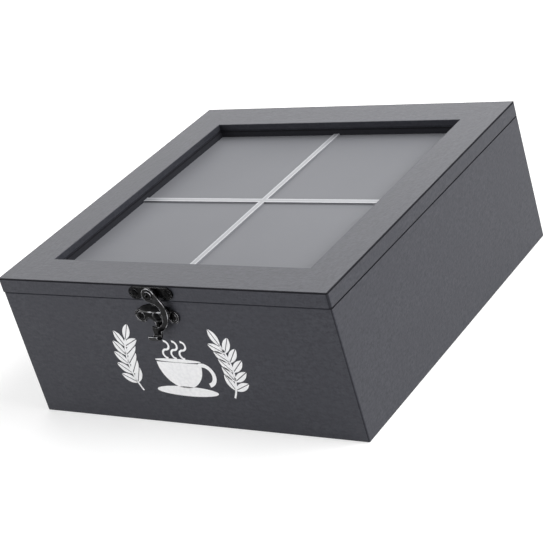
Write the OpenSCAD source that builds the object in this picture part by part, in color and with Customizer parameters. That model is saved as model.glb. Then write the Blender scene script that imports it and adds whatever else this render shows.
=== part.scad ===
// Square wooden organizer box for tea bags: four compartments under a hinged
// lid with a framed window, closed at the front by a swinging hook latch.
// Millimetres. +Z is up, the front faces -Y, and the origin is the middle of
// the footprint on the surface that the box stands on.

/* [Box] */
// Width and depth of the lid, the largest part of the box
lid_w = 180; // [160:1:220]
// Height from the table to the top of the lid
total_h = 72; // [60:1:100]
// Thickness of the four walls
wall_t = 7; // [5:0.5:9]
// Thickness of the bottom panel
bottom_t = 4; // [3:0.5:6]
// How far the lid stands out past the walls at the sides
overhang = 0.3; // [0:0.1:1]
// Rounding of the upright corners
corner_r = 1.4; // [0.5:0.1:3]

/* [Lid] */
// Thickness of the lid frame
lid_t = 7; // [6:0.5:10]
// Width of the lid's flat rails
rail_w = 19.5; // [17:0.5:30]
// Gap between the closed lid and the walls
seam = 0.6; // [0.3:0.1:1]
// Thickness of the window pane
pane_t = 2; // [1.5:0.5:3]
// Width of the two bars that quarter the window
bar_w = 3.2; // [2:0.2:6]
// Height of those bars above the pane
bar_h = 0.8; // [0.6:0.2:2]

/* [Compartments] */
// Thickness of the two crossed dividers
divider_t = 3; // [2:0.5:5]
// Height of the dividers' top edges above the table
divider_top = 58; // [40:1:58]

/* [Hinges] */
// Length of each hinge
hinge_l = 18; // [14:1:26]
// Distance of each hinge's middle from the middle of the box
hinge_x = 54; // [30:1:65]
// Thickness of the sheet that the hinges and the latch are pressed from
sheet_t = 0.8; // [0.6:0.1:1]
// Outside radius of the hinge knuckles
knuckle_r = 1.6; // [1.4:0.1:2]
// Radius of the hinge pins
pin_r = 0.75; // [0.6:0.05:0.9]

/* [Latch] */
// Sideways place of the latch, from the middle of the front
latch_x = -1; // [-10:0.2:10]
// Distance of each latch screw from the middle of its plate
ear_x = 8.8; // [8:0.1:11]
// Radius of the arm's outer edge, where it swings out to the right
arm_r = 10.4; // [10:0.2:11]
// Thickness of the arm
arm_t = 1.1; // [0.8:0.1:1.3]
// Inside radius of the finger scoop at the arm's lower end
scoop_r = 1.5; // [1.3:0.1:1.8]

/* [Hidden] */
$fn = 64;
eps = 0.01;

paint = "#47484c";
inside_paint = "#3a3b3f";
pane_grey = "#929497";
bar_grey = "#cfd1d5";
black_metal = "#1b1b1d";

// The body is flush with the lid at the back, where the hinges lie flat on both
body_w = lid_w - 2 * overhang;
body_y = overhang;
body_h = total_h - lid_t - seam;
inner_w = body_w - 2 * wall_t;
lid_z = total_h - lid_t;
window_w = lid_w - 2 * rail_w;
edge_r = 0.5;
wall_corner_r = corner_r * 0.6;

// Bottom panel: let into a rabbet, flush with the walls' lower edges
rabbet = wall_t / 2;

// Dividers: their ends stand in shallow housings in the walls
housing = 2;
housing_gap = 0.1;
lap_gap = 0.1;
divider_h = divider_top - bottom_t;
divider_l = inner_w + 2 * housing - 0.4;

// Lid: a shadow groove round the window's wall, and strips that hold the pane
groove_w = 0.7;
groove_d = 0.6;
pane_w = window_w + 8;
pane_gap = 0.2;
strip_foot = 2;
strip_in = pane_w / 2 - 2.2;
strip_out = inner_w / 2 - 1.3;

// Hinges: one plane of sheet on the back face, with the knuckles outside it
hinge_y = lid_w / 2 + knuckle_r + 0.3;
hinge_z = lid_z - seam / 2;
knuckle_gap = 0.3;
pin_gap = 0.05;
leaf_start = knuckle_r + 0.3;
leaf_h = 4.8;
hinge_screw_x = 5.4;
hinge_screw_z = leaf_start + leaf_h / 2;
middle_l = hinge_l / 3;

// Small screws: head radius and height, shank radius and length
screw_head_r = 1.6;
screw_head_h = 0.45;
screw_r = 0.8;
screw_l = 5.8;

// Latch, measured from the arm's pivot in the middle of the lid's edge
pivot_z = total_h - lid_t / 2;
lid_face = -lid_w / 2;
box_face = body_y - body_w / 2;
boss_h = 0.75;
boss_r = 2.9;
arm_gap = 0.1;
arm_back = sheet_t + boss_h + arm_gap;
eye_r = 3.4;
arm_centre = [-3, -8.4];
hollow_r = 5.8;
hollow_centre = [-1.7, -10.2];
upper_hollow_r = 3.6;
upper_hollow_centre = [0.4, -7.6];
tail_left = -3.7;
tail_right = 1;
tail_drop = 18.6;
ear_r = 3;
latch_scallop_r = 2.6;
rim_w = 0.5;
sink = 0.25;
pad_r = 1.9;

// Hollow rivet
rivet_r = 1.2;
rivet_bore_r = 0.8;
rivet_head_r = 2.2;
rivet_head_h = 0.65;
rivet_depth = 3;

// Catch: plate, and the round knob pressed up in its middle
catch_x = -1.2;
catch_z = pivot_z - 11.8;
catch_lobe_r = 3.2;
catch_lobe_drop = 3.4;
catch_scallop_r = 2.4;
knob_x = 0.1;
knob_r = 2.2;
knob_h = 1.1;

// --- General shapes ---------------------------------------------------

// A square with rounded corners, centred, drawn with true arcs
module rounded_square(w, r) {
    square([w, w - 2 * r], center = true);
    square([w - 2 * r, w], center = true);
    for (x = [-1, 1], y = [-1, 1])
        translate([x * (w / 2 - r), y * (w / 2 - r)]) circle(r = r);
}

// The stretch of a frame that lies between two 45 degree mitres on its -Y side
module mitre_sector(w) {
    polygon([[0, 0], [-w, -w], [w, -w]]);
}

// One mitred side of a square frame: a section given as (inward, up) from the
// frame's outer face, run along X on the -Y side and turned to side number k
module frame_side(w, k) {
    rotate([0, 0, 90 * k])
        intersection() {
            translate([-w / 2, -w / 2, 0])
                rotate([90, 0, 90])
                    linear_extrude(w) children();
            translate([0, 0, -1])
                linear_extrude(total_h + 2) mitre_sector(w);
        }
}

// What has to be cut away to round the top corner of a section at the origin,
// which lies to the +X side and below
module corner_waste(r) {
    difference() {
        translate([-1, -r]) square([r + 1, r + 1]);
        translate([r, -r]) circle(r = r);
    }
}

// A wood screw's shank along -Z, from z = 0, with a conical tip
module screw_shank() {
    tip = 1.6;
    translate([0, 0, -(screw_l - tip)]) cylinder(r = screw_r, h = screw_l - tip);
    translate([0, 0, -screw_l]) cylinder(r1 = 0.15, r2 = screw_r, h = tip);
}

// The domed head above the shank
module screw() {
    dome_r = (screw_head_r * screw_head_r + screw_head_h * screw_head_h) / (2 * screw_head_h);
    screw_shank();
    intersection() {
        translate([0, 0, screw_head_h - dome_r]) sphere(r = dome_r);
        cylinder(r = screw_head_r + eps, h = screw_head_h + eps);
    }
}

// Children drawn with +Z outwards, moved to a front face at depth y
module on_front(y) {
    translate([latch_x, y, 0]) rotate([90, 0, 0]) children();
}

// --- Box --------------------------------------------------------------

// Section of a wall: outer face at x = 0, rabbeted for the bottom panel
module wall_section() {
    difference() {
        square([wall_t, body_h]);
        translate([wall_t - rabbet, -1]) square([rabbet + 1, bottom_t + 1]);
        translate([0, body_h]) corner_waste(edge_r);
        mirror([0, 1]) corner_waste(edge_r);
    }
}

// One wall, with the housing that holds the end of a divider
module wall(k) {
    translate([0, body_y, 0])
        difference() {
            intersection() {
                frame_side(body_w, k) wall_section();
                linear_extrude(total_h) rounded_square(body_w, wall_corner_r);
            }
            rotate([0, 0, 90 * k])
                translate([-divider_t / 2 - housing_gap, -inner_w / 2 - housing, bottom_t])
                    cube([divider_t + 2 * housing_gap, housing + 1, divider_h + 0.3]);
        }
}

module front_panel() {
    color(paint)
        difference() {
            wall(0);
            catch_screw_places() screw_shank();
        }
}

module right_panel() {
    color(paint) wall(1);
}

module back_panel() {
    color(paint)
        difference() {
            wall(2);
            box_screw_places() screw_shank();
        }
}

module left_panel() {
    color(paint) wall(3);
}

module bottom_panel() {
    w = inner_w + 2 * rabbet;
    color(inside_paint)
        translate([-w / 2, body_y - w / 2, 0]) cube([w, w, bottom_t]);
}

// A divider along X. Its notch for the other one opens upwards or downwards.
module divider(notch_up) {
    notch_w = divider_t + 2 * lap_gap;
    notch_h = divider_h / 2 + lap_gap;
    difference() {
        translate([-divider_l / 2, -divider_t / 2, 0]) cube([divider_l, divider_t, divider_h]);
        translate([-notch_w / 2, -divider_t, notch_up ? divider_h - notch_h : -1])
            cube([notch_w, 2 * divider_t, notch_h + 1]);
    }
}

module divider_crosswise() {
    color(inside_paint) translate([0, body_y, bottom_t]) divider(true);
}

module divider_lengthwise() {
    color(inside_paint) translate([0, body_y, bottom_t]) rotate([0, 0, 90]) divider(false);
}

// --- Lid --------------------------------------------------------------

// Section of a rail: outer face at x = 0, window wall at x = rail_w
module rail_section() {
    difference() {
        square([rail_w, lid_t]);
        translate([0, lid_t]) corner_waste(edge_r);
        translate([rail_w, lid_t]) mirror([1, 0]) corner_waste(edge_r / 2);
        translate([rail_w - groove_d, (lid_t - groove_w) / 2]) square([groove_d + 1, groove_w]);
    }
}

module rail(k) {
    translate([0, 0, lid_z])
        intersection() {
            frame_side(lid_w, k) rail_section();
            linear_extrude(lid_t) rounded_square(lid_w, corner_r);
        }
}

module lid_front_rail() {
    color(paint)
        difference() {
            rail(0);
            latch_screw_places() screw_shank();
            on_front(lid_face)
                translate([0, pivot_z, -rivet_depth]) cylinder(r = rivet_r, h = rivet_depth + 1);
        }
}

module lid_right_rail() {
    color(paint) rail(1);
}

module lid_back_rail() {
    color(paint)
        difference() {
            rail(2);
            lid_screw_places() screw_shank();
        }
}

module lid_left_rail() {
    color(paint) rail(3);
}

module window_pane() {
    color(pane_grey)
        translate([-pane_w / 2, -pane_w / 2, lid_z - pane_t]) cube([pane_w, pane_w, pane_t]);
}

// A window bar along X, lying on the pane, halved where the other crosses it
module window_bar(notch_up) {
    difference() {
        translate([-window_w / 2, -bar_w / 2, 0]) cube([window_w, bar_w, bar_h]);
        translate([-bar_w / 2, -bar_w, notch_up ? bar_h / 2 : -1])
            cube([bar_w, 2 * bar_w, bar_h / 2 + 1]);
    }
}

module window_bar_crosswise() {
    color(bar_grey) translate([0, 0, lid_z]) window_bar(true);
}

module window_bar_lengthwise() {
    color(bar_grey) translate([0, 0, lid_z]) rotate([0, 0, 90]) window_bar(false);
}

// Section of a retaining strip: a leg outside the pane's edge, a foot under it
module strip_section() {
    leg_w = strip_out - pane_w / 2 - pane_gap;
    square([strip_out - strip_in, strip_foot]);
    square([leg_w, strip_foot + pane_t]);
}

module retaining_strip(k) {
    color(inside_paint)
        translate([0, 0, lid_z - pane_t - strip_foot])
            frame_side(2 * strip_out, k) strip_section();
}

module front_retaining_strip() { retaining_strip(0); }
module right_retaining_strip() { retaining_strip(1); }
module back_retaining_strip() { retaining_strip(2); }
module left_retaining_strip() { retaining_strip(3); }

// --- Hinges -----------------------------------------------------------

// One knuckle on the pin's axis, from x0 on, with a tab down to its leaf
module knuckle(x0, l) {
    translate([x0, hinge_y, hinge_z]) rotate([0, 90, 0]) cylinder(r = knuckle_r, h = l);
    translate([x0, lid_w / 2, hinge_z - leaf_start - eps]) cube([l, sheet_t, leaf_start + eps]);
}

module pin_bore(r) {
    translate([-hinge_l, hinge_y, hinge_z]) rotate([0, 90, 0]) cylinder(r = r, h = 2 * hinge_l);
}

// The flat of a leaf below the knuckles, with rounded lower corners
module leaf_flat() {
    r = 1;
    difference() {
        translate([0, lid_w / 2 + sheet_t, hinge_z - leaf_start])
            rotate([90, 0, 0])
                linear_extrude(sheet_t) {
                    translate([-hinge_l / 2, r - leaf_h]) square([hinge_l, leaf_h - r]);
                    translate([r - hinge_l / 2, -leaf_h]) square([hinge_l - 2 * r, leaf_h]);
                    for (s = [-1, 1])
                        translate([s * (hinge_l / 2 - r), r - leaf_h]) circle(r = r);
                }
        for (s = [-1, 1])
            translate([s * hinge_screw_x, lid_w / 2 - 1, hinge_z - hinge_screw_z])
                rotate([-90, 0, 0]) cylinder(r = screw_r, h = sheet_t + 2);
    }
}

// The leaf on the box holds the pin tightly in its two outer knuckles
module box_leaf() {
    side_l = middle_l - knuckle_gap / 2;
    color(black_metal)
        difference() {
            union() {
                leaf_flat();
                knuckle(-hinge_l / 2, side_l);
                knuckle(hinge_l / 2 - side_l, side_l);
            }
            pin_bore(pin_r);
        }
}

// The leaf on the lid turns on the pin with its one middle knuckle
module lid_leaf() {
    l = middle_l - knuckle_gap;
    color(black_metal)
        translate([0, 0, 2 * hinge_z])
            mirror([0, 0, 1])
                difference() {
                    union() {
                        leaf_flat();
                        knuckle(-l / 2, l);
                    }
                    pin_bore(pin_r + pin_gap);
                }
}

module hinge_pin() {
    head_h = 0.4;
    color(black_metal)
        translate([0, hinge_y, hinge_z])
            rotate([0, 90, 0]) {
                cylinder(r = pin_r, h = hinge_l, center = true);
                for (s = [-1, 1])
                    translate([0, 0, s * (hinge_l + head_h) / 2])
                        cylinder(r = pin_r + 0.3, h = head_h, center = true);
            }
}

// The four screws of each row, two for each hinge: side is -1 below, 1 above
module hinge_screw_places(side) {
    for (x = [-hinge_x, hinge_x], s = [-1, 1])
        translate([x + s * hinge_screw_x, lid_w / 2 + sheet_t, hinge_z + side * hinge_screw_z])
            rotate([-90, 0, 0]) children();
}

module box_screw_places() { hinge_screw_places(-1) children(); }
module lid_screw_places() { hinge_screw_places(1) children(); }

module left_hinge_box_leaf() { translate([-hinge_x, 0, 0]) box_leaf(); }
module right_hinge_box_leaf() { translate([hinge_x, 0, 0]) box_leaf(); }
module left_hinge_lid_leaf() { translate([-hinge_x, 0, 0]) lid_leaf(); }
module right_hinge_lid_leaf() { translate([hinge_x, 0, 0]) lid_leaf(); }
module left_hinge_pin() { translate([-hinge_x, 0, 0]) hinge_pin(); }
module right_hinge_pin() { translate([hinge_x, 0, 0]) hinge_pin(); }
module hinge_box_screws() { color(black_metal) box_screw_places() screw(); }
module hinge_lid_screws() { color(black_metal) lid_screw_places() screw(); }

// --- Latch ------------------------------------------------------------

module latch_screw_places() {
    on_front(lid_face - sheet_t)
        for (s = [-1, 1]) translate([s * ear_x, pivot_z, 0]) children();
}

module catch_screw_places() {
    on_front(box_face - sheet_t)
        for (s = [-1, 1]) translate([catch_x + s * ear_x, catch_z, 0]) children();
}

// A pressed sheet: children 0 is its outline, children 1 the area sunk in it
module pressed_sheet() {
    difference() {
        linear_extrude(sheet_t) children(0);
        translate([0, 0, sheet_t - sink]) linear_extrude(sink + 1) children(1);
    }
}

// Outline of the plate on the lid, drawn in by a margin m all round
module latch_plate_outline(m = 0) {
    difference() {
        union() {
            for (s = [-1, 1]) translate([s * ear_x, 0]) circle(r = ear_r - m);
            translate([-ear_x, m - ear_r]) square([2 * ear_x, 2 * (ear_r - m)]);
        }
        for (s = [-1, 1])
            translate([s * ear_x / 2, -ear_r - 1]) circle(r = latch_scallop_r + m);
    }
}

// The plate on the lid: two ears, a straight top edge and a pressed boss
module latch_plate() {
    color(black_metal)
        difference() {
            on_front(lid_face)
                translate([0, pivot_z, 0]) {
                    pressed_sheet() {
                        latch_plate_outline();
                        difference() {
                            latch_plate_outline(rim_w);
                            for (s = [-1, 1]) translate([s * ear_x, 0]) circle(r = pad_r);
                            circle(r = boss_r);
                        }
                    }
                    translate([0, 0, sheet_t - eps]) cylinder(r = boss_r, h = boss_h + eps);
                }
            latch_screw_places() screw_shank();
            on_front(lid_face)
                translate([0, pivot_z, -1]) cylinder(r = rivet_r, h = sheet_t + boss_h + 2);
        }
}

// A hollow rivet: shank, overhanging ring and a blind bore down its middle
module latch_rivet() {
    shank_l = rivet_depth + arm_back + arm_t + arm_gap;
    color(black_metal)
        on_front(lid_face)
            translate([0, pivot_z, -rivet_depth])
                difference() {
                    union() {
                        cylinder(r = rivet_r, h = shank_l + eps);
                        translate([0, 0, shank_l]) cylinder(r = rivet_head_r, h = rivet_head_h / 2);
                        translate([0, 0, shank_l + rivet_head_h / 2])
                            cylinder(r1 = rivet_head_r, r2 = rivet_head_r - 0.5, h = rivet_head_h / 2);
                    }
                    translate([0, 0, shank_l + rivet_head_h - 2])
                        cylinder(r = rivet_bore_r, h = 3);
                }
}

module latch_screws() { color(black_metal) latch_screw_places() screw(); }

// Front view of the arm: the eye, and a band that leaves it on a straight
// tangent, swings out round the hollow and comes back below it
module arm_outline() {
    lean = atan2(-arm_centre.y, -arm_centre.x)
        - acos((arm_r - eye_r) / norm(arm_centre));
    square_up = [cos(lean), sin(lean)];
    circle(r = eye_r);
    difference() {
        union() {
            polygon([[0, 0], eye_r * square_up, arm_centre + arm_r * square_up, [3, -6], [0, -6]]);
            intersection() {
                translate(arm_centre) circle(r = arm_r);
                translate([0, -tail_drop]) square([arm_r, tail_drop]);
            }
            translate([tail_left, -tail_drop])
                square([tail_right - tail_left, tail_drop + hollow_centre.y]);
        }
        translate(hollow_centre) circle(r = hollow_r);
        translate(upper_hollow_centre) circle(r = upper_hollow_r);
        translate([-arm_r, hollow_centre.y - 0.6 * hollow_r]) square([arm_r + hollow_centre.x, 20]);
    }
}

// Section of the scoop: part of a ring, from the arm round to the free edge
module scoop_section() {
    r = scoop_r + arm_t;
    difference() {
        circle(r = r);
        circle(r = scoop_r);
        polygon([[0, 0], [-2 * r, 0], [-2 * r, 2 * r], [2 * r, 2 * r], [2 * r, 0.2 * r]]);
    }
}

// The swinging arm: a pierced eye on the rivet, the bowed band, and an outward
// scoop for the finger at its lower end
module latch_arm() {
    color(black_metal)
        on_front(lid_face - arm_back)
            translate([0, pivot_z, 0])
                difference() {
                    union() {
                        linear_extrude(arm_t) arm_outline();
                        translate([tail_right, -tail_drop, scoop_r + arm_t])
                            rotate([0, -90, 0])
                                linear_extrude(tail_right - tail_left) scoop_section();
                    }
                    translate([0, 0, -1]) cylinder(r = rivet_r + pin_gap, h = arm_t + 2);
                }
}

// Outline of the plate on the box, drawn in by a margin m all round
module catch_plate_outline(m = 0) {
    difference() {
        union() {
            for (s = [-1, 1]) translate([s * ear_x, 0]) circle(r = catch_lobe_r - m);
            translate([-ear_x, m - catch_lobe_r]) square([2 * ear_x, 2 * (catch_lobe_r - m)]);
            translate([0, -catch_lobe_drop]) circle(r = catch_lobe_r - m);
        }
        for (s = [-1, 1])
            translate([s * ear_x * 0.55, -catch_lobe_r - 0.5]) circle(r = catch_scallop_r + m);
    }
}

// The plate on the box: two screw lobes, a third lobe below and the knob
module catch_plate() {
    ball_r = (knob_r * knob_r + knob_h * knob_h) / (2 * knob_h);
    color(black_metal)
        difference() {
            on_front(box_face)
                translate([catch_x, catch_z, 0]) {
                    pressed_sheet() {
                        catch_plate_outline();
                        difference() {
                            catch_plate_outline(rim_w);
                            for (s = [-1, 1]) translate([s * ear_x, 0]) circle(r = pad_r);
                            translate([knob_x, -0.3]) circle(r = knob_r + 0.3);
                        }
                    }
                    translate([knob_x, -0.3, sheet_t])
                        intersection() {
                            translate([0, 0, knob_h - ball_r]) sphere(r = ball_r);
                            translate([0, 0, -eps]) cylinder(r = knob_r + eps, h = knob_h + 1);
                        }
                }
            catch_screw_places() screw_shank();
        }
}

module catch_screws() { color(black_metal) catch_screw_places() screw(); }

front_panel();
back_panel();
left_panel();
right_panel();
bottom_panel();
divider_crosswise();
divider_lengthwise();
left_hinge_box_leaf();
right_hinge_box_leaf();
left_hinge_pin();
right_hinge_pin();
hinge_box_screws();
catch_plate();
catch_screws();
lid_front_rail();
lid_back_rail();
lid_left_rail();
lid_right_rail();
window_pane();
window_bar_crosswise();
window_bar_lengthwise();
front_retaining_strip();
back_retaining_strip();
left_retaining_strip();
right_retaining_strip();
left_hinge_lid_leaf();
right_hinge_lid_leaf();
hinge_lid_screws();
latch_plate();
latch_rivet();
latch_screws();
latch_arm();
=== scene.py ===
import math

import bpy
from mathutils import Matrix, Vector


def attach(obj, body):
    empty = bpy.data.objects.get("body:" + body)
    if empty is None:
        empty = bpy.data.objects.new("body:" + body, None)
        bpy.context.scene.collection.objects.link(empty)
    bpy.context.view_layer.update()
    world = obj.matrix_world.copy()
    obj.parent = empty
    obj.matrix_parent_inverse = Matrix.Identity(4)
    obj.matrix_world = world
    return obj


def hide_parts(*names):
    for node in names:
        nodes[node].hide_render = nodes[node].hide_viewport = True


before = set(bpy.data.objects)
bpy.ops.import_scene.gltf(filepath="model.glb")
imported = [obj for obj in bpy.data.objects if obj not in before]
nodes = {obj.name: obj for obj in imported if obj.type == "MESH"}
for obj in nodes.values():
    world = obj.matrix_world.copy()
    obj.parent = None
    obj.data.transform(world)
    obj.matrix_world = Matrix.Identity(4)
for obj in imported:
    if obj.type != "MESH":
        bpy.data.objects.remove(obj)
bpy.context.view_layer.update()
millimetre = 0.001
samePoint = 0.001 * millimetre            # points closer than this are one
sameFace = math.radians(1)                # faces that turn less than this are one
levelFace = 0.9                           # a face is level when its normal's z is more than this
print("frame loaded:", len(nodes), "nodes")


def deselectAll():
    if bpy.context.object and bpy.context.object.mode != "OBJECT":
        bpy.ops.object.mode_set(mode="OBJECT")
    bpy.ops.object.select_all(action="DESELECT")


def selectOnly(*pieces):
    # the first one becomes the active one
    deselectAll()
    for piece in pieces:
        piece.select_set(True)
    bpy.context.view_layer.objects.active = pieces[0]


def selectWhere(piece, kind, test):
    # stays in edit mode, with only the faces or vertices selected that the test says yes to
    bpy.ops.object.mode_set(mode="EDIT")
    bpy.ops.mesh.select_mode(type=kind)
    bpy.ops.mesh.select_all(action="DESELECT")
    bpy.ops.object.mode_set(mode="OBJECT")
    for part in piece.data.polygons if kind == "FACE" else piece.data.vertices:
        part.select = test(part)
    bpy.ops.object.mode_set(mode="EDIT")


def applyPlace():
    # the selected piece's place, turn and size go into its mesh
    bpy.ops.object.transform_apply(location=True, rotation=True, scale=True)


def applyModifier(piece, kind, **settings):
    bpy.context.view_layer.objects.active = piece
    modifier = piece.modifiers.new(kind.lower(), kind)
    for name, value in settings.items():
        setattr(modifier, name, value)
    bpy.ops.object.modifier_apply(modifier=modifier.name)


def hexColour(text):
    # sRGB hex to the linear colour that the shader wants
    channels = [int(text[i:i + 2], 16) / 255 for i in (1, 3, 5)]
    linear = [c / 12.92 if c <= 0.04045 else ((c + 0.055) / 1.055) ** 2.4 for c in channels]
    return (*linear, 1.0)


def addNode(tree, kind, inputs=None, **settings):
    # an input given as a node takes that node's first live output; in a colour Mix the two
    # colours are inputs 6 and 7, and the mixed one is output 2
    node = tree.nodes.new(kind)
    for name, value in settings.items():
        setattr(node, name, value)
    for socket, value in (inputs or {}).items():
        if isinstance(value, bpy.types.Node):
            value = next(output for output in value.outputs if output.enabled)
        if isinstance(value, bpy.types.NodeSocket):
            tree.links.new(value, node.inputs[socket])
        else:
            node.inputs[socket].default_value = value
    return node


def newMaterial(name, **shaderValues):
    # the shader's fixed values come as keywords, with their spaces left out
    material = bpy.data.materials.new(name)
    material.use_nodes = True
    tree = material.node_tree
    tree.nodes.clear()
    shader = addNode(tree, "ShaderNodeBsdfPrincipled")
    for socket in shader.inputs:
        if socket.name.replace(" ", "") in shaderValues:
            socket.default_value = shaderValues[socket.name.replace(" ", "")]
    addNode(tree, "ShaderNodeOutputMaterial", {"Surface": shader})
    place = addNode(tree, "ShaderNodeTexCoord").outputs["Object"]
    return material, tree, shader, place


def marks(size):
    # the texture scale at which a mark has this size in millimetres
    return 1 / (millimetre * size)


def fromMiddle(tree, place):
    # a point's distances from the box's two middle planes, and its height
    split = addNode(tree, "ShaderNodeSeparateXYZ", {0: place})
    x, y = [addNode(tree, "ShaderNodeMath", {0: split.outputs[axis]}, operation="ABSOLUTE")
            for axis in (0, 1)]
    return x, y, split.outputs[2]


def dress(names, material):
    for name in names:
        mesh = nodes[name].data
        mesh.materials.clear()
        mesh.materials.append(material)


camera = {
    "location": (0.467, -0.5787, 0.3741),
    "turn": (64.03, 15.209, 31.988),      # degrees; the middle one tips the horizon
    "lens": 113.28,
    "sensorWidth": 36,
    "clipStart": 0.01,
}


def addCamera():
    data = bpy.data.cameras.new("camera")
    data.lens = camera["lens"]
    data.sensor_width = camera["sensorWidth"]
    data.clip_start = camera["clipStart"]
    view = bpy.data.objects.new("camera", data)
    bpy.context.scene.collection.objects.link(view)
    view.location = camera["location"]
    view.rotation_euler = [math.radians(a) for a in camera["turn"]]
    bpy.context.scene.camera = view


addCamera()
print("camera placed")


studio = {                                # lengths in metres
    "white": "#ffffff",
    "worldStrength": 0.35,
    "seenStrength": 1.0,                  # the background as the camera and the gloss see it
    "lampAim": (0, 0, 0.05),
    "floorSize": 6.0,
    "floorHeight": -0.0002,
    "floorColour": "#c4c4c4",
    "floorRoughness": 0.9,
    "nearGlow": 0.55,                     # added for the rays that see the background
    "farGlow": 0.9,                       # the same, out where the lamps hardly reach
    "nearReach": 0.4,
    "farReach": 1.4,
}
lamps = {                                 # metres and watts
    "topLamp": {"place": (-0.1, 0.3, 1.5), "size": (0.9, 0.9), "power": 1.5},
    "rightLamp": {"place": (1.5, 0.6, 1.45), "size": (1.9, 1.7), "power": 76.0},
    "backLamp": {"place": (-0.84, 1.03, 0.7), "size": (1.2, 1.2), "power": 6.5},
    # lights the print and the steel's matt parts, with no shine on the paint
    "frontLamp": {"place": (-0.7, -1.4, 0.4), "size": (0.5, 0.5), "power": 10.0,
                  "shine": False},
    # these only shine: on the lid towards its back, and on the steel's edges
    "sheenLamp": {"place": (-0.3, 1.1, 0.75), "size": (0.9, 0.9), "power": 2.2,
                  "matt": False},
    "leftEdgeLamp": {"place": (-0.9, -0.75, 1.15), "size": (0.3, 0.3), "power": 4.0,
                     "matt": False},
    "rightEdgeLamp": {"place": (1.0, -0.8, 0.85), "size": (0.3, 0.3), "power": 3.0,
                      "matt": False},
}


def addLamp(name, lamp):
    data = bpy.data.lights.new(name, "AREA")
    data.shape = "RECTANGLE"
    data.size, data.size_y = lamp["size"]
    data.energy = lamp["power"]
    light = bpy.data.objects.new(name, data)
    bpy.context.scene.collection.objects.link(light)
    light.location = lamp["place"]
    light.visible_diffuse = lamp.get("matt", True)
    light.visible_glossy = lamp.get("shine", True)
    aim = Vector(studio["lampAim"]) - Vector(lamp["place"])
    light.rotation_euler = aim.to_track_quat("-Z", "Y").to_euler()


def seenRays(tree):
    # 1 for camera, glossy and transmission rays: those see the plain white background
    path = addNode(tree, "ShaderNodeLightPath")
    first = addNode(tree, "ShaderNodeMath", {0: path.outputs["Is Camera Ray"],
                    1: path.outputs["Is Glossy Ray"]}, operation="MAXIMUM")
    return addNode(tree, "ShaderNodeMath", {0: first, 1: path.outputs["Is Transmission Ray"]},
                   operation="MAXIMUM")


def addWorld():
    world = bpy.data.worlds.new("studio")
    bpy.context.scene.world = world
    world.use_nodes = True
    tree = world.node_tree
    tree.nodes.clear()
    lit, seen = [addNode(tree, "ShaderNodeBackground", {"Color": hexColour(studio["white"]),
                 "Strength": studio[strength]}) for strength in ("worldStrength", "seenStrength")]
    mix = addNode(tree, "ShaderNodeMixShader", {0: seenRays(tree), 1: lit, 2: seen})
    addNode(tree, "ShaderNodeOutputWorld", {"Surface": mix})


def addFloor():
    deselectAll()
    bpy.ops.mesh.primitive_plane_add(size=studio["floorSize"],
                                     location=(0, 0, studio["floorHeight"]))
    floor = bpy.context.object
    floor.name = "studioFloor"
    applyPlace()
    # matt paper: its glow only lifts the lit floor to white, so the shadow stays on it
    material, tree, shader, place = newMaterial(
        "mattePaper", BaseColor=hexColour(studio["floorColour"]),
        Roughness=studio["floorRoughness"], SpecularIORLevel=0.0,
        EmissionColor=hexColour(studio["white"]))
    away = addNode(tree, "ShaderNodeVectorMath", {0: place}, operation="LENGTH")
    level = addNode(tree, "ShaderNodeMapRange", {"Value": away.outputs["Value"],
                    "From Min": studio["nearReach"], "From Max": studio["farReach"],
                    "To Min": studio["nearGlow"], "To Max": studio["farGlow"]})
    glow = addNode(tree, "ShaderNodeMath", {0: seenRays(tree), 1: level}, operation="MULTIPLY")
    tree.links.new(glow.outputs[0], shader.inputs["Emission Strength"])
    floor.data.materials.append(material)


bpy.context.scene.view_settings.view_transform = "Standard"
addWorld()
addFloor()
for name, lamp in lamps.items():
    addLamp(name, lamp)
print("studio lit")


paint = {                                 # lengths in millimetres
    "colour": "#28292e",
    "paler": "#34353a",
    "darker": "#1f2025",
    "sheenTint": "#f0f0ff",
    "specular": 0.36,
    "roughness": 0.45,
    "stroke": {"long": 3.4, "wide": 1.3, "detail": 3.0},
    "speckle": {"size": 1.1, "detail": 4.0},
    "cloud": {"size": 14, "detail": 2.0},
    "grainCut": (0.75, 1.25),             # where the grain is all dark and all pale
    "cloudCut": (0.35, 0.65),
    "calm": (0.1, 0.6),                   # how much the plain colour covers the mottle
    "relief": 0.08,
    "bump": 0.8,
    "unlit": "#060608",
    "windowHalf": 70.9,                   # inside this, the lid's rails take painted shade
    "windowShade": (0.72, 0.12),          # the share of it, below and above the groove
    "outerFace": 89.3,                    # beyond this, painted dark lines follow the edges
    "cornerFrom": 89.1,
    "cornerShade": 0.6,
    "lines": {                            # how high they run, and how far up and down they reach
        "arris": {"height": 72.0, "reach": 0.55},
        "seam": {"height": 64.65, "reach": 0.5},
        "foot": {"height": 0.0, "reach": 0.4},
        "windowGroove": {"height": 68.3, "reach": 0.7},
    },
}


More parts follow.
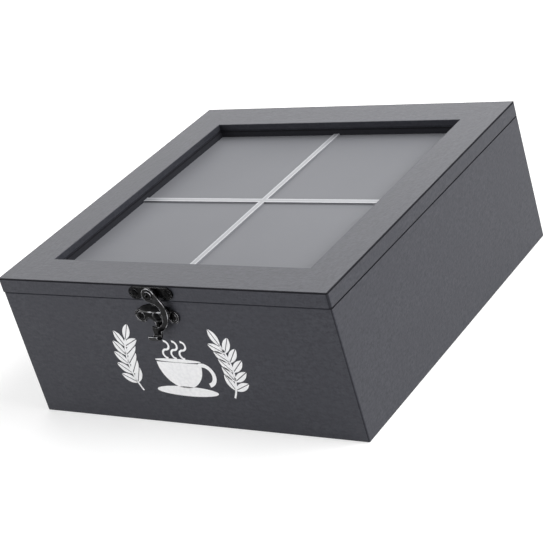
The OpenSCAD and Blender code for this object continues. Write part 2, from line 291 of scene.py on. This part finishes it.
def paintedShade(tree, place, lid):
    # painted shade: darker inside the window opening, black in its groove, at the upright
    # corners, along the arrises and the bottom edges, and in the seam at the sides
    x, y, height = fromMiddle(tree, place)
    far = addNode(tree, "ShaderNodeMath", {0: x, 1: y}, operation="MAXIMUM")
    near = addNode(tree, "ShaderNodeMath", {0: x, 1: y}, operation="MINIMUM")
    corner = addNode(tree, "ShaderNodeMath", {0: near, 1: paint["cornerFrom"] * millimetre},
                     operation="GREATER_THAN")
    dark = addNode(tree, "ShaderNodeMath", {0: corner, 1: paint["cornerShade"]},
                   operation="MULTIPLY")
    places = {}
    for line, across in (("arris", far), ("foot", far), ("seam", x)):
        places[line] = addNode(tree, "ShaderNodeMath", {0: across,
                               1: paint["outerFace"] * millimetre}, operation="GREATER_THAN")
    if lid:
        groove = paint["lines"]["windowGroove"]
        inside = addNode(tree, "ShaderNodeMath", {0: far, 1: paint["windowHalf"] * millimetre},
                         operation="LESS_THAN")
        shade = addNode(tree, "ShaderNodeMapRange", {"Value": height,
                        "From Min": (groove["height"] - groove["reach"]) * millimetre,
                        "From Max": (groove["height"] + groove["reach"]) * millimetre,
                        "To Min": paint["windowShade"][0], "To Max": paint["windowShade"][1]})
        wall = addNode(tree, "ShaderNodeMath", {0: inside, 1: shade}, operation="MULTIPLY")
        dark = addNode(tree, "ShaderNodeMath", {0: dark, 1: wall}, operation="MAXIMUM")
        places["windowGroove"] = inside
    for line, mask in places.items():
        level = addNode(tree, "ShaderNodeMath", {0: height,
                        1: paint["lines"][line]["height"] * millimetre,
                        2: paint["lines"][line]["reach"] * millimetre}, operation="COMPARE")
        drawn = addNode(tree, "ShaderNodeMath", {0: mask, 1: level}, operation="MULTIPLY")
        dark = addNode(tree, "ShaderNodeMath", {0: dark, 1: drawn}, operation="MAXIMUM")
    return dark


def satinPaint(name, along, lid):
    # satin lacquer rolled on fibreboard: a fine even mottle, drawn out a little with the board
    material, tree, shader, place = newMaterial(name, SpecularIORLevel=paint["specular"],
                                                SpecularTint=hexColour(paint["sheenTint"]))
    stroke = [marks(paint["stroke"]["long" if axis == along else "wide"]) for axis in "xyz"]
    layout = addNode(tree, "ShaderNodeMapping", {"Vector": place, "Scale": stroke})
    strokes = addNode(tree, "ShaderNodeTexNoise", {"Vector": layout, "Scale": 1.0,
                      "Detail": paint["stroke"]["detail"]})
    speckle, cloud = [addNode(tree, "ShaderNodeTexNoise", {"Vector": place,
                      "Detail": mark["detail"], "Scale": marks(mark["size"])})
                      for mark in (paint["speckle"], paint["cloud"])]
    grain = addNode(tree, "ShaderNodeMath", {0: strokes, 1: speckle}, operation="ADD")
    tone = addNode(tree, "ShaderNodeMapRange", {"Value": grain,
                   "From Min": paint["grainCut"][0], "From Max": paint["grainCut"][1]})
    mottle = addNode(tree, "ShaderNodeMix", {0: tone, 6: hexColour(paint["darker"]),
                     7: hexColour(paint["paler"])}, data_type="RGBA")
    calm = addNode(tree, "ShaderNodeMapRange", {"Value": cloud,
                   "From Min": paint["cloudCut"][0], "From Max": paint["cloudCut"][1],
                   "To Min": paint["calm"][0], "To Max": paint["calm"][1]})
    colour = addNode(tree, "ShaderNodeMix", {0: calm, 6: mottle, 7: hexColour(paint["colour"])},
                     data_type="RGBA")
    # painted shade: there the colour goes towards unlit black and the sheen turns rough
    dark = paintedShade(tree, place, lid)
    colour = addNode(tree, "ShaderNodeMix", {0: dark, 6: colour, 7: hexColour(paint["unlit"])},
                     data_type="RGBA")
    roughness = addNode(tree, "ShaderNodeMapRange", {"Value": dark,
                        "To Min": paint["roughness"], "To Max": 1.0})
    bump = addNode(tree, "ShaderNodeBump", {"Height": grain, "Strength": paint["bump"],
                   "Distance": paint["relief"] * millimetre})
    tree.links.new(colour.outputs[2], shader.inputs["Base Color"])
    tree.links.new(roughness.outputs[0], shader.inputs["Roughness"])
    tree.links.new(bump.outputs[0], shader.inputs["Normal"])
    return material


def mottledMaterial(name, coat, **shaderValues):
    # two tones in one noise, and its relief in another; patch and grain are the sizes of their
    # marks in millimetres
    material, tree, shader, place = newMaterial(name, **shaderValues)
    patch, grain = [addNode(tree, "ShaderNodeTexNoise", {"Vector": place,
                    "Detail": coat["detail"], "Scale": marks(coat[size])})
                    for size in ("patch", "grain")]
    factor = addNode(tree, "ShaderNodeMapRange", {"Value": patch,
                     "From Min": coat["from"], "From Max": coat["to"]})
    colour = addNode(tree, "ShaderNodeMix", {0: factor, 6: hexColour(coat["tones"][0]),
                     7: hexColour(coat["tones"][1])}, data_type="RGBA")
    bump = addNode(tree, "ShaderNodeBump", {"Height": grain, "Strength": coat["bump"],
                   "Distance": coat["relief"] * millimetre})
    tree.links.new(colour.outputs[2], shader.inputs["Base Color"])
    tree.links.new(bump.outputs[0], shader.inputs["Normal"])
    return material


bars = {                                  # lengths in millimetres
    "middle": "#838488",
    "sides": ("#9d9ea2", "#a7a8ac"),
    "flank": "#7a7b7f",                   # the strip's upright faces, darker: painted shade
    "levelFrom": 0.5,                     # faces that look up less than this are flanks
    "middleHalf": 0.75,                   # half the width of the darker middle, between the painted highlights on the sides
    "fade": 0.35,
    "specular": 0.4,
    "roughness": 0.35,
    "streak": {"size": 2.0, "detail": 3.0, "from": 0.3, "to": 0.7},
    "relief": 0.03,
    "bump": 0.4,
}


def lacqueredStrip():
    # pale lacquered wood strip, paler along both sides: a painted highlight on its edges
    material, tree, shader, place = newMaterial("lacqueredStrip", Roughness=bars["roughness"],
                                                SpecularIORLevel=bars["specular"])
    mark = bars["streak"]
    streak = addNode(tree, "ShaderNodeTexNoise", {"Vector": place, "Detail": mark["detail"],
                     "Scale": marks(mark["size"])})
    tone = addNode(tree, "ShaderNodeMapRange", {"Value": streak, "From Min": mark["from"],
                   "From Max": mark["to"]})
    sides = addNode(tree, "ShaderNodeMix", {0: tone, 6: hexColour(bars["sides"][0]),
                    7: hexColour(bars["sides"][1])}, data_type="RGBA")
    # both strips cross at the window's middle, so the nearer axis is the strip's own line
    x, y = fromMiddle(tree, place)[:2]
    away = addNode(tree, "ShaderNodeMath", {0: x, 1: y}, operation="MINIMUM")
    side = addNode(tree, "ShaderNodeMapRange", {"Value": away,
                   "From Min": bars["middleHalf"] * millimetre,
                   "From Max": (bars["middleHalf"] + bars["fade"]) * millimetre})
    top = addNode(tree, "ShaderNodeMix", {0: side, 6: hexColour(bars["middle"]), 7: sides},
                  data_type="RGBA")
    normal = addNode(tree, "ShaderNodeSeparateXYZ",
                     {0: addNode(tree, "ShaderNodeNewGeometry").outputs["Normal"]})
    level = addNode(tree, "ShaderNodeMath", {0: normal.outputs[2], 1: bars["levelFrom"]},
                    operation="GREATER_THAN")
    # the upright faces take the darker flank colour: painted shade
    colour = addNode(tree, "ShaderNodeMix", {0: level, 6: hexColour(bars["flank"]), 7: top},
                     data_type="RGBA")
    bump = addNode(tree, "ShaderNodeBump", {"Height": streak, "Strength": bars["bump"],
                   "Distance": bars["relief"] * millimetre})
    tree.links.new(colour.outputs[2], shader.inputs["Base Color"])
    tree.links.new(bump.outputs[0], shader.inputs["Normal"])
    return material


# acrylic sheet, sanded satin on its upper face, so that the inside shows only as grey; the
# grain is drawn coarser than the real grit, which is too fine to show
satinAcrylic = mottledMaterial("satinAcrylic", {
    "tones": ("#6e6f73", "#717276"), "patch": 60, "grain": 0.7, "detail": 1.5,
    "from": 0.35, "to": 0.65, "relief": 0.01, "bump": 0.3,
}, Roughness=0.5, SpecularIORLevel=0.08)

# pressed sheet steel under glossy black enamel, greyer where the coat is thin; its orange peel
# is drawn coarser than it is, so that it breaks up the gloss
blackEnamelledSteel = mottledMaterial("blackEnamelledSteel", {
    "tones": ("#050506", "#161618"), "patch": 2.4, "grain": 1.5, "detail": 2.0,
    "from": 0.5, "to": 0.75, "relief": 0.1, "bump": 0.5,
}, Roughness=0.16, SpecularIORLevel=0.05)

# the same enamel on the arm, lighter and glossier than on the plates: painted light, as the arm
# stands out in the light while the plates lie in shade
armLitBlackSteel = mottledMaterial("armLitBlackSteel", {
    "tones": ("#09090a", "#222225"), "patch": 2.4, "grain": 1.5, "detail": 4.0,
    "from": 0.5, "to": 0.75, "relief": 0.25, "bump": 0.6,
}, Roughness=0.16, SpecularIORLevel=0.12)

# the pressed edges, pale in places: enamel rubbed down to bright steel, and painted glints where
# the edges catch the light
wornEdgeAndGlint = mottledMaterial("wornEdgeAndGlint", {
    "tones": ("#0c0c0d", "#bcbcc0"), "patch": 3.0, "grain": 1.5, "detail": 2.0,
    "from": 0.44, "to": 0.62, "relief": 0.1, "bump": 0.5,
}, Roughness=0.25, SpecularIORLevel=0.5)

# screen-printed white, slightly uneven where the ink is thin
whiteScreenPrint = mottledMaterial("whiteScreenPrint", {
    "tones": ("#f1f1f3", "#fafafb"), "patch": 1.6, "grain": 1.6, "detail": 4.0,
    "from": 0.35, "to": 0.6, "relief": 0.02, "bump": 0.4,
}, Roughness=0.5, SpecularIORLevel=0.3)

painted = {
    "satinPaintBoardX": {"along": "x", "lid": False, "nodes": [
        "front_panel", "back_panel", "bottom_panel", "divider_crosswise"]},
    "satinPaintBoardY": {"along": "y", "lid": False, "nodes": [
        "left_panel", "right_panel", "divider_lengthwise"]},
    "satinPaintRailX": {"along": "x", "lid": True, "nodes": [
        "lid_front_rail", "lid_back_rail", "front_retaining_strip", "back_retaining_strip"]},
    "satinPaintRailY": {"along": "y", "lid": True, "nodes": [
        "lid_left_rail", "lid_right_rail", "left_retaining_strip", "right_retaining_strip"]},
}
for name, coat in painted.items():
    dress(coat["nodes"], satinPaint(name, coat["along"], coat["lid"]))
dress(["window_pane"], satinAcrylic)
dress(["window_bar_crosswise", "window_bar_lengthwise"], lacqueredStrip())
dress([name for name in nodes if "hinge" in name or "latch" in name or "catch" in name],
      blackEnamelledSteel)
print("materials on")


def copyOf(nodeName):
    # a merged copy of a CAD piece, selected and active
    source = nodes[nodeName]
    piece = source.copy()
    piece.data = source.data.copy()
    piece.name = piece.data.name = nodeName + "_dressed"
    bpy.context.scene.collection.objects.link(piece)
    piece.hide_render = piece.hide_viewport = False
    selectOnly(piece)
    bpy.ops.object.mode_set(mode="EDIT")
    bpy.ops.mesh.select_all(action="SELECT")
    bpy.ops.mesh.remove_doubles(threshold=samePoint)
    bpy.ops.mesh.dissolve_limited(angle_limit=sameFace)
    bpy.ops.object.mode_set(mode="OBJECT")
    return piece


def joinPieces(pieces, name, material):
    selectOnly(*pieces)
    bpy.ops.object.join()
    joined = bpy.context.object
    joined.name = joined.data.name = name
    joined.data.materials.append(material)
    return joined


def finishPiece(piece, body, smooth=30):
    selectOnly(piece)
    applyPlace()
    bpy.ops.object.shade_smooth_by_angle(angle=math.radians(smooth))
    # flat faces stay flat beside a rounded edge
    applyModifier(piece, "WEIGHTED_NORMAL", keep_sharp=True)
    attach(piece, body)


pressedSteel = {                          # lengths in millimetres
    "segments": 3,
    "sharpFrom": 40,                      # degrees; edges that turn less than this stay
    "pieces": {
        "latch_plate": {"body": "lid", "round": 0.14},
        "latch_arm": {"body": "latch_arm", "round": 0.25, "steel": armLitBlackSteel},
        "latch_rivet": {"body": "lid", "round": 0.12},
        "catch_plate": {"body": "box", "round": 0.14},
        "left_hinge_box_leaf": {"body": "box", "round": 0.15},
        "right_hinge_box_leaf": {"body": "box", "round": 0.15},
        "left_hinge_lid_leaf": {"body": "lid", "round": 0.15},
        "right_hinge_lid_leaf": {"body": "lid", "round": 0.15},
    },
}


def roundEdges(piece, width, steel):
    # the rounded edges take the second material: worn enamel and painted glints
    piece.data.materials.clear()
    piece.data.materials.append(steel)
    piece.data.materials.append(wornEdgeAndGlint)
    applyModifier(piece, "BEVEL", width=width * millimetre, segments=pressedSteel["segments"],
                  material=1, limit_method="ANGLE",
                  angle_limit=math.radians(pressedSteel["sharpFrom"]))


for name, pressed in pressedSteel["pieces"].items():
    piece = copyOf(name)
    roundEdges(piece, pressed["round"], pressed.get("steel", blackEnamelledSteel))
    finishPiece(piece, pressed["body"])
    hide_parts(name)
print("pressed steel rounded:", len(pressedSteel["pieces"]))


catchHood = {                             # lengths in millimetres
    "ledge": (-2.2, 58.9),                # x and z of its middle on the front
    "wallY": -89.4,
    "half": (9.4, 1.7, 3.7),              # half its width, how far it stands out, its height
    "segments": 72,
    "rings": 36,
    "worn": 0.55,                         # height of the pale band along the ledge: a painted highlight
    "round": 0.14,
}


def addHood():
    # the catch's upper edge, drawn out into a low arch with a straight ledge below
    deselectAll()
    x, z = catchHood["ledge"]
    bpy.ops.mesh.primitive_uv_sphere_add(segments=catchHood["segments"],
                                         ring_count=catchHood["rings"], radius=millimetre)
    hood = bpy.context.object
    hood.name = hood.data.name = "catch_hood"
    hood.scale = catchHood["half"]
    hood.location = [millimetre * v for v in (x, catchHood["wallY"], z)]
    applyPlace()
    wall, ledge = catchHood["wallY"] * millimetre, z * millimetre
    selectWhere(hood, "FACE", lambda face: face.center.y > wall or face.center.z < ledge)
    bpy.ops.mesh.delete(type="FACE")
    # the two open sides, closed one after the other
    for axis, level in ((1, wall), (2, ledge)):
        selectWhere(hood, "VERT", lambda vertex: abs(vertex.co[axis] - level) < samePoint)
        bpy.ops.mesh.edge_face_add()
        bpy.ops.mesh.poke()
    bpy.ops.mesh.select_all(action="SELECT")
    bpy.ops.mesh.normals_make_consistent(inside=False)
    bpy.ops.object.mode_set(mode="OBJECT")
    roundEdges(hood, catchHood["round"], blackEnamelledSteel)
    # the band along the ledge takes the pale edge material: a painted highlight
    for face in hood.data.polygons:
        if face.center.z < millimetre * (z + catchHood["worn"]):
            face.material_index = 1
    finishPiece(hood, "box")


addHood()
print("catch hood set")


screw = {                                 # lengths in millimetres
    "sides": 40,
    "headRadius": 1.6,
    "headHeight": 0.45,
    "rimDrop": 0.2,                       # from the flat head's top down to its rim
    "domeStep": 0.3,                      # each ring of the dome goes this far in
    "domeRises": (0.14, 0.05, 0.01),
    "shankRadius": 0.8,
    "shankLength": 5.8,
    "pointLength": 0.5,
    "pointShare": 0.1,                    # of the shank's width
    "slotWidth": 0.42,
    "slotLength": 1.9,
    "slotDepth": 0.3,
    "firstTurn": 17,                      # degrees; no two of a row stand alike
    "nextTurn": 61,
    "smooth": 35,
    "nodes": {                            # facing is -1 for the front and 1 for the back
        "latch_screws": {"body": "lid", "facing": -1},
        "catch_screws": {"body": "box", "facing": -1},
        "hinge_box_screws": {"body": "box", "facing": 1},
        "hinge_lid_screws": {"body": "lid", "facing": 1},
    },
}


def screwPlaces(nodeName):
    # the middle and both ends of each loose screw in a CAD node, from its merged copy
    copyOf(nodeName)
    bpy.ops.object.mode_set(mode="EDIT")
    bpy.ops.mesh.select_all(action="SELECT")
    bpy.ops.mesh.separate(type="LOOSE")
    bpy.ops.object.mode_set(mode="OBJECT")
    parts = list(bpy.context.selected_objects)
    places = []
    for part in parts:
        xs, ys, zs = zip(*[vertex.co for vertex in part.data.vertices])
        places.append(((min(xs) + max(xs)) / 2, min(ys), max(ys), (min(zs) + max(zs)) / 2))
    selectOnly(*parts)
    bpy.ops.object.delete()
    return places


def crossScrew():
    # pan head up +Z with its under side at z = 0, pressed with a cross
    head = screw["headHeight"] * millimetre
    point = screw["pointLength"]
    deselectAll()
    bpy.ops.mesh.primitive_cylinder_add(vertices=screw["sides"], depth=head,
                                        radius=screw["headRadius"] * millimetre,
                                        location=(0, 0, head / 2))
    piece = bpy.context.object
    applyPlace()
    selectWhere(piece, "FACE", lambda face: face.normal.z > levelFace)
    bpy.ops.transform.translate(value=(0, 0, -screw["rimDrop"] * millimetre))
    for rise in screw["domeRises"]:
        bpy.ops.mesh.inset(thickness=screw["domeStep"] * millimetre)
        bpy.ops.transform.translate(value=(0, 0, rise * millimetre))
    selectWhere(piece, "FACE", lambda face: face.normal.z < -levelFace)
    bpy.ops.mesh.inset(thickness=(screw["headRadius"] - screw["shankRadius"]) * millimetre)
    for length in (screw["shankLength"] - point, point):
        bpy.ops.mesh.extrude_region_move(TRANSFORM_OT_translate={
            "value": (0, 0, -length * millimetre)})
    bpy.ops.transform.resize(value=(screw["pointShare"], screw["pointShare"], 1.0))
    bpy.ops.object.mode_set(mode="OBJECT")
    for turn in (0, 90):
        deselectAll()
        bpy.ops.mesh.primitive_cube_add(size=millimetre, location=(0, 0, head))
        cutter = bpy.context.object
        cutter.scale = (screw["slotLength"], screw["slotWidth"], 2 * screw["slotDepth"])
        cutter.rotation_euler = (0, 0, math.radians(turn))
        applyPlace()
        selectOnly(piece)
        applyModifier(piece, "BOOLEAN", operation="DIFFERENCE", object=cutter, solver="EXACT")
        bpy.data.objects.remove(cutter, do_unlink=True)
    return piece


pattern = crossScrew()
for name, use in screw["nodes"].items():
    copies = []
    for count, (x, front, back, z) in enumerate(screwPlaces(name)):
        piece = pattern.copy()
        piece.data = pattern.data.copy()
        bpy.context.scene.collection.objects.link(piece)
        outer = front if use["facing"] < 0 else back
        piece.location = (x, outer - use["facing"] * screw["headHeight"] * millimetre, z)
        spin = math.radians(screw["firstTurn"] + screw["nextTurn"] * count)
        piece.rotation_euler = (math.radians(-90 * use["facing"]), spin, 0)
        copies.append(piece)
    joined = joinPieces(copies, name + "_dressed", blackEnamelledSteel)
    finishPiece(joined, use["body"], screw["smooth"])
    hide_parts(name)
bpy.data.objects.remove(pattern, do_unlink=True)
print("screws set")


ornament = {                              # lengths in millimetres, angles in degrees
    "middle": (0.5, 30.6),                # x and z on the front
    "frontY": -89.4,
    "layer": 0.03,                        # a shape is one, two or three layers thick, in turn,
    "layers": 3,                          # so that shapes that cross don't share a face
    "sides": 96,                          # of a full circle
    "bowl": {"at": (0, 2.2), "radius": 12.2, "squash": 1.08},
    "mouth": {"at": (0, 3.3), "radius": 12.6, "squash": 0.07},
    "handle": {"at": (12.4, -3.4), "radius": 5.2, "stroke": 2.0, "cut": (1, 0.25)},
    "saucer": {"at": (0, -12.6), "radius": 17.0, "squash": 0.15},
    "steam": {"from": (-4.6, 0.0, 4.6), "low": 6.6, "radius": 2.2, "stroke": 1.0},
    "stem": {"radius": 29.0, "stroke": 0.9, "start": 154, "end": 209},
    "leaf": {"length": 8.8, "width": 3.9, "vein": 0.4, "splay": 44},
    "leafPlaces": [162, 171.5, 181, 190.5, 200],       # around the stem's circle
}
shapes = []


def keepSide(piece, normal):
    # cuts through the middle and keeps the side that the normal points to
    bpy.ops.object.mode_set(mode="EDIT")
    bpy.ops.mesh.select_all(action="SELECT")
    bpy.ops.mesh.bisect(plane_co=(0, 0, 0), plane_no=(*normal, 0), clear_inner=True)
    bpy.ops.object.mode_set(mode="OBJECT")


def addDisc(radius, squash=1.0, shift=0.0):
    deselectAll()
    bpy.ops.mesh.primitive_circle_add(vertices=ornament["sides"], radius=radius * millimetre,
                                      fill_type="NGON", location=(0, shift * millimetre, 0))
    disc = bpy.context.object
    disc.scale = (1, squash, 1)
    applyPlace()
    return disc


def addArc(radius, stroke, normals):
    # a ring on its middle radius, cut through its centre by each normal
    arc = addDisc(radius + stroke / 2)
    bpy.ops.object.mode_set(mode="EDIT")
    bpy.ops.mesh.select_all(action="SELECT")
    bpy.ops.mesh.inset(thickness=stroke * millimetre)
    bpy.ops.mesh.delete(type="FACE")
    bpy.ops.object.mode_set(mode="OBJECT")
    for normal in normals:
        keepSide(arc, normal)
    return arc


def standUp(piece, x, z, turn=0.0):
    # thickened by its layers, turned and stood on the front
    selectOnly(piece)
    lift = ornament["layer"] * (1 + len(shapes) % ornament["layers"])
    bpy.ops.object.mode_set(mode="EDIT")
    bpy.ops.mesh.select_all(action="SELECT")
    bpy.ops.mesh.extrude_region_move(TRANSFORM_OT_translate={"value": (0, 0, lift * millimetre)})
    bpy.ops.mesh.select_all(action="SELECT")
    bpy.ops.mesh.normals_make_consistent(inside=False)
    bpy.ops.object.mode_set(mode="OBJECT")
    middle = ornament["middle"]
    piece.rotation_euler = (math.radians(90), math.radians(-turn), 0)
    piece.location = [millimetre * v for v in (middle[0] + x, ornament["frontY"], middle[1] + z)]
    applyPlace()
    shapes.append(piece)


def addLeaf(x, z, angle):
    # two slim arcs of a circle, a vein's width apart
    leaf = ornament["leaf"]
    high = (leaf["width"] - leaf["vein"]) / 2
    radius = (leaf["length"] ** 2 / 4 + high ** 2) / (2 * high)
    reach = leaf["length"] / 2
    for side in (-1, 1):
        half = addDisc(radius, shift=side * (high - radius))
        keepSide(half, (0, side))
        half.location = (0, side * leaf["vein"] / 2 * millimetre, 0)
        applyPlace()
        standUp(half, x + reach * math.cos(math.radians(angle)),
                z + reach * math.sin(math.radians(angle)), angle)


def addSprig(side):
    # side is -1 for the left and 1 for the right
    stem, splay = ornament["stem"], ornament["leaf"]["splay"]
    start, end = math.radians(stem["start"]), math.radians(stem["end"])
    arc = addArc(stem["radius"], stem["stroke"], [(side * math.sin(start), math.cos(start)),
                 (-side * math.sin(end), -math.cos(end))])
    standUp(arc, 0, 0)
    for place in [stem["start"]] + ornament["leafPlaces"]:
        around = math.radians(place)
        x, z = stem["radius"] * math.cos(around), stem["radius"] * math.sin(around)
        # one leaf at the tip and pairs below it
        for lean in (0,) if place == stem["start"] else (-splay, splay):
            angle = place - 90 + lean
            if side > 0:
                addLeaf(-x, z, 180 - angle)
            else:
                addLeaf(x, z, angle)


def addCup():
    bowl, mouth, saucer = ornament["bowl"], ornament["mouth"], ornament["saucer"]
    handle, steam = ornament["handle"], ornament["steam"]
    piece = addDisc(bowl["radius"], bowl["squash"])
    keepSide(piece, (0, -1))
    standUp(piece, *bowl["at"])
    standUp(addDisc(mouth["radius"], mouth["squash"]), *mouth["at"])
    standUp(addArc(handle["radius"], handle["stroke"], [handle["cut"]]), *handle["at"])
    standUp(addDisc(saucer["radius"], saucer["squash"]), *saucer["at"])
    for x in steam["from"]:
        for half, side in enumerate((-1, 1)):
            curl = addArc(steam["radius"], steam["stroke"], [(side, 0)])
            standUp(curl, x, steam["low"] + 2 * half * steam["radius"])


addCup()
addSprig(-1)
addSprig(1)
finishPiece(joinPieces(shapes, "front_ornament", whiteScreenPrint), "box")
print("ornament printed")
